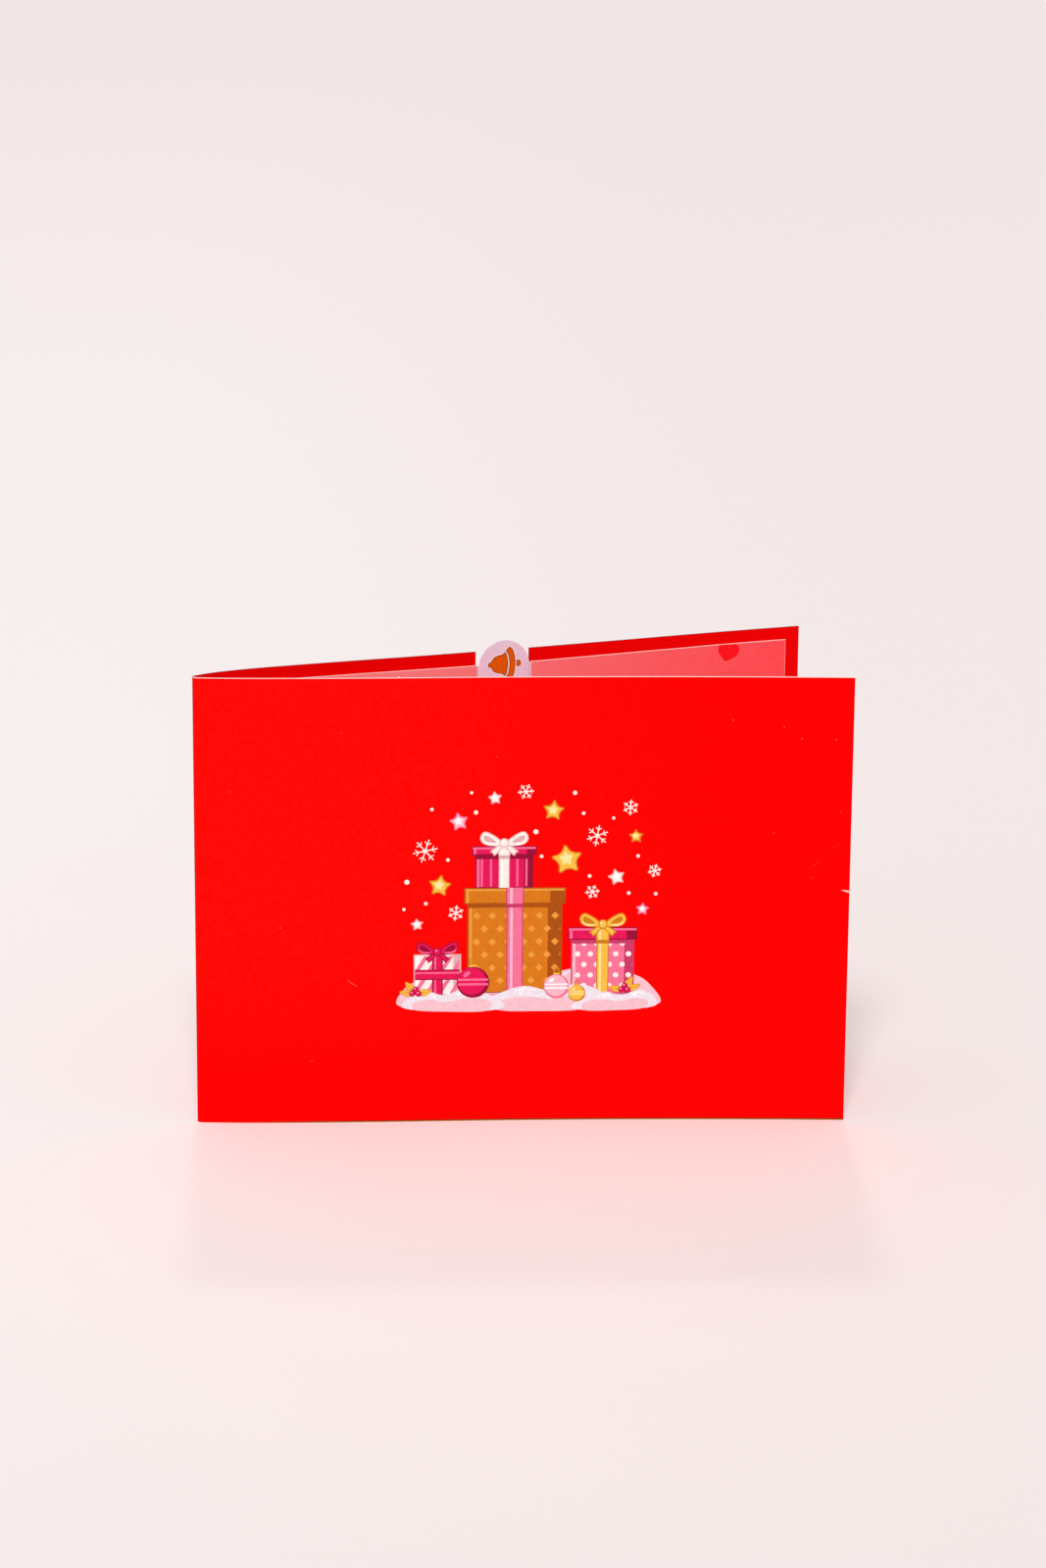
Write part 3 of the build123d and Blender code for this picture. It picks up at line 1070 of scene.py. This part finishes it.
def draw_sky(draw, ink):
    """Stars, flakes and dots over the gifts."""
    gold, cream = tones(ink, "gold"), tones(ink, "cream")
    pink = (ink.pink_light, ink.pink, ink.cream_light)
    for x, y, size, lean, (tone, dark, light) in (
        (10.2, 43.6, 4.9, 98, gold), (-24.6, 36.4, 3.6, 82, gold), (23.8, 38.6, 2.7, 104, cream),
        (-19.4, 54.6, 3, 100, pink), (6.4, 57.6, 3.4, 84, gold), (29, 50.2, 2.3, 92, gold),
        (-30.8, 25.4, 2, 96, cream), (31, 29.4, 2.1, 86, pink), (-9.6, 61.2, 2.2, 96, cream),
    ):
        draw.lined(star((x, y), size, lean), tone, dark, 0.35)
        draw.add(star((x - size * 0.05, y + size * 0.06), size * 0.46, lean), light)
    for x, y, size, lean in (
        (-28.6, 46.4, 3.4, 12), (18.4, 50.4, 3, 20), (-1.2, 63, 2.2, 5), (17.2, 34.4, 2, 8),
        (27.4, 58.4, 2.2, 26), (-20.2, 28.6, 2.2, 22), (34.2, 40.4, 1.9, 15),
    ):
        draw_flake(draw, ink.cream, (x, y), size, lean)
    for x, y, size in (
        (-14.8, 57.2, 0.6), (1.6, 51.6, 0.7), (14.6, 56.8, 0.5), (-33.6, 37.6, 0.7),
        (29.6, 44.6, 0.5), (-26.8, 58.2, 0.5), (12.2, 62.6, 0.6), (-22.4, 43.8, 0.5),
        (22.8, 55.4, 0.45), (34.6, 33.8, 0.5), (-34.4, 29.8, 0.45), (3.2, 44.6, 0.5),
        (16.4, 38.9, 0.5), (-16, 62.8, 0.45), (27.2, 34, 0.5), (-28.4, 31.4, 0.5),
    ):
        draw.add(ellipse((x, y), size * 2, size * 2, count=16), ink.cream)


def draw_bell(draw, note):
    """Bell lying on its side: each part is half an outline, mirrored at the bell's axis."""
    crown = [
        (-4.66, 0), (-4.52, 0.42), (-4.2, 0.7), (-3.92, 0.74), (-3.66, 0.9),
        (-3.42, 1.36), (-3.1, 1.8), (-2.76, 2.1), (-2.4, 2.3), (-1.9, 2.48), (-1.3, 2.6),
        (-0.7, 2.72), (-0.3, 2.88), (0, 3.08), (0.26, 3.34), (0.5, 3.4), (0.74, 3),
        (0.95, 2.45), (1.12, 1.8), (1.26, 0.9), (1.3, 0),
    ]
    brim = [
        (1.72, 0), (1.68, 0.7), (1.58, 1.35), (1.46, 2.1), (1.3, 2.6), (1.06, 3.05),
        (0.8, 3.4), (0.62, 3.68), (0.8, 4.02), (1.06, 4.3), (1.36, 4.64), (1.68, 4.82),
        (2, 4.74), (2.34, 4.46), (2.62, 4.06), (2.84, 3.56), (3.06, 3), (3.24, 2.3),
        (3.36, 1.6), (3.43, 0.8), (3.46, 0),
    ]
    clapper = [(3.7, 0), (3.7, 0.66), (3.9, 0.94), (4.38, 1), (4.82, 0.8), (5.06, 0.42), (5.12, 0)]
    shapes = [
        anticlockwise(half + [(x, -y) for x, y in half[-2:0:-1]])
        for half in (crown, brim, clapper)
    ]
    for shape in shapes:
        draw.add(grown(shape, 0.3), note.bell_halo)
    for shape in shapes:
        draw.lined(shape, note.bell, note.bell_line, 0.24)


def dress(node, material):
    """Give a sheet its material."""
    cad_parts[node].material_slots[0].material = material


class CARD_OT_cover(bpy.types.Operator):
    """Give the cover its red print and bare cut edges"""

    bl_idname = "card.cover"
    bl_label = "Finish the cover"

    def execute(self, context):
        dress("cover", cover_material(context.scene.card_cover))
        return {"FINISHED"}


class CARD_OT_lining(bpy.types.Operator):
    """Give the lining its pink print"""

    bl_idname = "card.lining"
    bl_label = "Finish the lining"

    def execute(self, context):
        dress("lining", lining_material(context.scene.card_cover, context.scene.card_lining))
        return {"FINISHED"}


class CARD_OT_note(bpy.types.Operator):
    """Give the note card its lilac print"""

    bl_idname = "card.note"
    bl_label = "Finish the note card"

    def execute(self, context):
        dress("note_card", note_material(context.scene.card_cover, context.scene.card_note))
        return {"FINISHED"}


class CARD_OT_picture(bpy.types.Operator):
    """Print the gifts, the snow and the stars on the front"""

    bl_idname = "card.picture"
    bl_label = "Print the picture"

    def execute(self, context):
        ink = context.scene.card_picture
        centre = FOLD.x + ink.from_fold
        draw = Drawing(origin=(centre, ink.base), scale=ink.width / DRAWN_WIDTH)
        for piece, paint in (
            ("front_snow", draw_back_snow), ("front_stars", draw_sky),
            ("front_gifts", draw_gifts), ("front_snow", draw_front_snow),
            ("front_trims", draw_trims),
        ):
            draw.piece = piece
            paint(draw, ink)
        creases = crease_lines("cover", centre - ink.width / 2, centre + ink.width / 2)
        for piece in draw.pieces(creases):
            print_on(piece, "cover", BEFORE, "cover_card")
        return {"FINISHED"}


class CARD_OT_hearts(bpy.types.Operator):
    """Print the hearts on the lining"""

    bl_idname = "card.hearts"
    bl_label = "Print the hearts"

    def execute(self, context):
        lining = context.scene.card_lining
        squeeze = cos(context.scene.card_cover.opening)
        wide = lining.heart_width / MM
        tip = (lining.top_heart, LINING_HIGH.z - lining.top_heart_tip)
        draw = Drawing("lining_top_heart", tip, squeeze=squeeze)
        draw.add(heart((0, 0), wide, -degrees(lining.top_heart_lean)), lining.heart)
        ceiling = LINING_HIGH.z - lining.rim / 2
        print_on(draw.pieces(ceiling=ceiling)[0], "lining", BETWEEN, "lining_paper")
        for name, direction, share, end in (
            ("back", 1.0, squeeze, LINING_END.x), ("front", -1.0, 1.0, LINING_HIGH.x)
        ):
            draw = Drawing(f"lining_hearts_{name}", squeeze=share)
            draw.add(heart((0, -wide * 0.42), wide), lining.heart)
            print_on(
                draw.pieces()[0], "lining", BETWEEN, "lining_paper", direction,
                scattered_shapes(), Left=LINING_LOW.x + lining.heart_clear,
                Right=end - lining.heart_margin, Low=LINING_LOW.z + lining.heart_margin,
                High=lining.heart_ceiling, Spacing=lining.heart_spacing, Lean=lining.heart_lean,
                Least=lining.heart_least, Most=lining.heart_most, Seed=lining.heart_seed,
            )
        return {"FINISHED"}


class CARD_OT_bell(bpy.types.Operator):
    """Print the bell on the note's tab"""

    bl_idname = "card.bell"
    bl_label = "Print the bell"

    def execute(self, context):
        note = context.scene.card_note
        origin = (TAB.x, NOTE_HIGH.z - note.bell_axis)
        draw = Drawing("tab_bell", origin, squeeze=cos(context.scene.card_cover.opening))
        draw_bell(draw, note)
        print_on(draw.pieces()[0], "note_card", BETWEEN, "note_paper")
        return {"FINISHED"}


class CARD_OT_marks(bpy.types.Operator):
    """Put the scratch, the specks, the scuff and the nick on the cover"""

    bl_idname = "card.marks"
    bl_label = "Add the marks of use"

    def execute(self, context):
        cover = context.scene.card_cover
        draw = Drawing("front_marks")
        for part in ([(79, 73.5), (80, 74.1), (81.2, 75.1)], [(84.3, 78.5), (86.7, 79.9)]):
            draw.add(stroke(part, 0.35), cover.scratch)
        for x, z, size in (
            (56.8, 114.8, 0.5), (70.7, 113, 0.45), (75.6, 109.7, 0.5), (84.9, 109.5, 0.5),
            (-7.3, 104.7, 0.4), (-79.8, 95.2, 0.4), (-49.5, 111.7, 0.35), (-66.3, 56.5, 0.45),
            (-57.9, 18, 0.4), (68.5, 83, 0.4), (86.6, 89, 0.3), (79.4, 70.3, 0.3),
        ):
            speck = [(-0.5, 0), (0, -0.35), (0.5, 0.2), (0.15, 0.5)]
            draw.add(softened(moved(speck, (x, z), 0, size)), cover.speck)
        draw.add(stroke([(-48, 41.5), (-46.8, 40.5), (-45.3, 39.6)], 0.18), cover.speck)
        wedge = [(87.2, 66.9), (88.4, 66.4), (89.5, 66.1), (89.5, 66.75), (88.4, 66.8)]
        draw.add(wedge, cover.scuff)
        print_on(draw.pieces()[0], "cover", BEFORE, "cover_card")
        add_nick(cover)
        return {"FINISHED"}


# Width, depth and height of the tuft, as shares of its width
NICK_SHARES = (1.0, 0.55, 1.1)


def add_nick(cover):
    """Tuft of fibres that the die left on the top edge of the front panel."""
    mesh = bmesh.new()
    bmesh.ops.create_icosphere(mesh, subdivisions=3, radius=cover.nick_width / 2)
    for vertex in mesh.verts:
        x, y, z = vertex.co / cover.nick_width * 9
        swell = 1 + 0.16 * sin(2.1 * x + 1.3 * z) + 0.12 * sin(3.3 * y - 2.0 * x)
        vertex.co *= Vector(NICK_SHARES) * swell
    bmesh.ops.translate(mesh, verts=mesh.verts, vec=on_top_edge(cover.nick))
    piece = new_piece("edge_nick", mesh)
    material, tree, shader, grain = new_paper(
        "Torn fibres", fibre=6000, cloud=3000, relief=0.5, gloss=0.1, rough=0.8
    )
    tree.feed(shader, "Base Color", tree.mix(grain["Cloud"], cover.cut, cover.scuff))
    piece.data.materials.append(material)
    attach(piece, "root")


def on_top_edge(x):
    """Middle of the front panel's top edge at that X."""
    top = [p for p in vertices("cover") if p.z > COVER_HIGH.z - NEAR and p.y < BETWEEN]
    left = max(p.x for p in top if p.x <= x)
    right = min(p.x for p in top if p.x > x)
    one = middle([p for p in top if abs(p.x - left) < MM])
    two = middle([p for p in top if abs(p.x - right) < MM])
    return one.lerp(two, (x - one.x) / (two.x - one.x))


def new_piece(name, mesh):
    """Object made from a bmesh, smooth all over."""
    data = bpy.data.meshes.new(name)
    mesh.to_mesh(data)
    mesh.free()
    data.shade_smooth()
    return new_object(name, data)


class CARD_OT_stage(bpy.types.Operator):
    """Set up the floor, the lamps and the camera"""

    bl_idname = "card.stage"
    bl_label = "Set up the stage"

    def execute(self, context):
        settings = context.scene.card_stage
        add_floor(settings)
        add_sky(settings)
        add_lamp("Key lamp", settings.key_strength, settings.key_from, settings.key_width)
        add_lamp("Back lamp", settings.back_strength, settings.back_from, settings.back_width)
        add_camera(settings)
        context.scene.view_settings.view_transform = "Standard"
        return {"FINISHED"}


def add_floor(settings):
    """Wide pale floor, with painted shade that darkens it to the right, far behind and far in front.
    """
    mesh = bmesh.new()
    bmesh.ops.create_grid(mesh, x_segments=2, y_segments=2, size=settings.floor_size / 2)
    floor = new_piece("floor", mesh)
    material, tree, shader = new_material("Pale floor", gloss=0.03, rough=0.6)
    x, y, _ = tree.split(tree.place())
    beside = tree.step(COVER_LOW.x * 2, COVER_HIGH.x * 2, x)
    behind = tree.step(settings.back_start, settings.back_end, y)
    before = tree.step(settings.front_start, settings.front_end, y)
    before = tree.times(before, settings.front_share)
    tone = tree.mix(beside, settings.floor_left, settings.floor_right)
    tone = tree.mix(tree.maths("MAXIMUM", behind, before), tone, settings.floor_far)
    tree.feed(shader, "Base Color", tone)
    floor.data.materials.append(material)


def add_sky(settings):
    """Even light from all round."""
    world = bpy.data.worlds.new("Studio")
    bpy.context.scene.world = world
    world.use_nodes = True
    shade = world.node_tree.nodes["Background"]
    shade.inputs["Color"].default_value = settings.sky
    shade.inputs["Strength"].default_value = settings.sky_strength


def add_lamp(name, strength, towards, width):
    """Far soft lamp that shines from a direction and looks some angle wide."""
    data = bpy.data.lights.new(name, "SUN")
    data.energy, data.angle = strength, width
    lamp = new_object(name, data)
    lamp.location = towards
    lamp.rotation_euler = Vector(towards).to_track_quat("Z", "Y").to_euler()


def add_camera(settings):
    """Camera at the photograph's place and angle."""
    data = bpy.data.cameras.new("Camera")
    data.sensor_fit = "VERTICAL"
    data.sensor_height = 36.0
    data.lens = settings.lens
    camera = new_object("Camera", data)
    pitch, yaw, roll = settings.camera_turn
    aim = Matrix.Rotation(yaw, 4, "Z") @ Matrix.Rotation(radians(90) - pitch, 4, "X")
    place = Matrix.Translation(settings.camera_place)
    camera.matrix_world = place @ aim @ Matrix.Rotation(roll, 4, "Z")
    bpy.context.scene.camera = camera


OPERATORS = (
    CARD_OT_cover, CARD_OT_lining, CARD_OT_note, CARD_OT_picture, CARD_OT_hearts, CARD_OT_bell,
    CARD_OT_marks, CARD_OT_stage,
)


class CARD_PT_card(bpy.types.Panel):
    """Sidebar panel that lists the card's operators"""

    bl_idname = "CARD_PT_card"
    bl_label = "Greeting card"
    bl_space_type = "VIEW_3D"
    bl_region_type = "UI"
    bl_category = "Card"

    def draw(self, context):
        for item in OPERATORS:
            self.layout.operator(item.bl_idname)


SETTINGS = {
    "card_cover": CoverSettings,
    "card_lining": LiningSettings,
    "card_note": NoteSettings,
    "card_picture": PictureSettings,
    "card_stage": StageSettings,
}


def register():
    """Register the classes and hang their settings on the scene."""
    for item in (*SETTINGS.values(), *OPERATORS, CARD_PT_card):
        bpy.utils.register_class(item)
    for name, group in SETTINGS.items():
        setattr(bpy.types.Scene, name, PointerProperty(type=group))


def unregister():
    """Take the settings and classes away again."""
    for name in SETTINGS:
        delattr(bpy.types.Scene, name)
    for item in (CARD_PT_card, *reversed(OPERATORS), *SETTINGS.values()):
        bpy.utils.unregister_class(item)


def main():
    """Finish and print the card and set up the stage."""
    register()
    bpy.ops.card.cover()
    bpy.ops.card.lining()
    bpy.ops.card.note()
    bpy.ops.card.picture()
    bpy.ops.card.hearts()
    bpy.ops.card.bell()
    bpy.ops.card.marks()
    bpy.ops.card.stage()


if __name__ == "__main__":
    main()
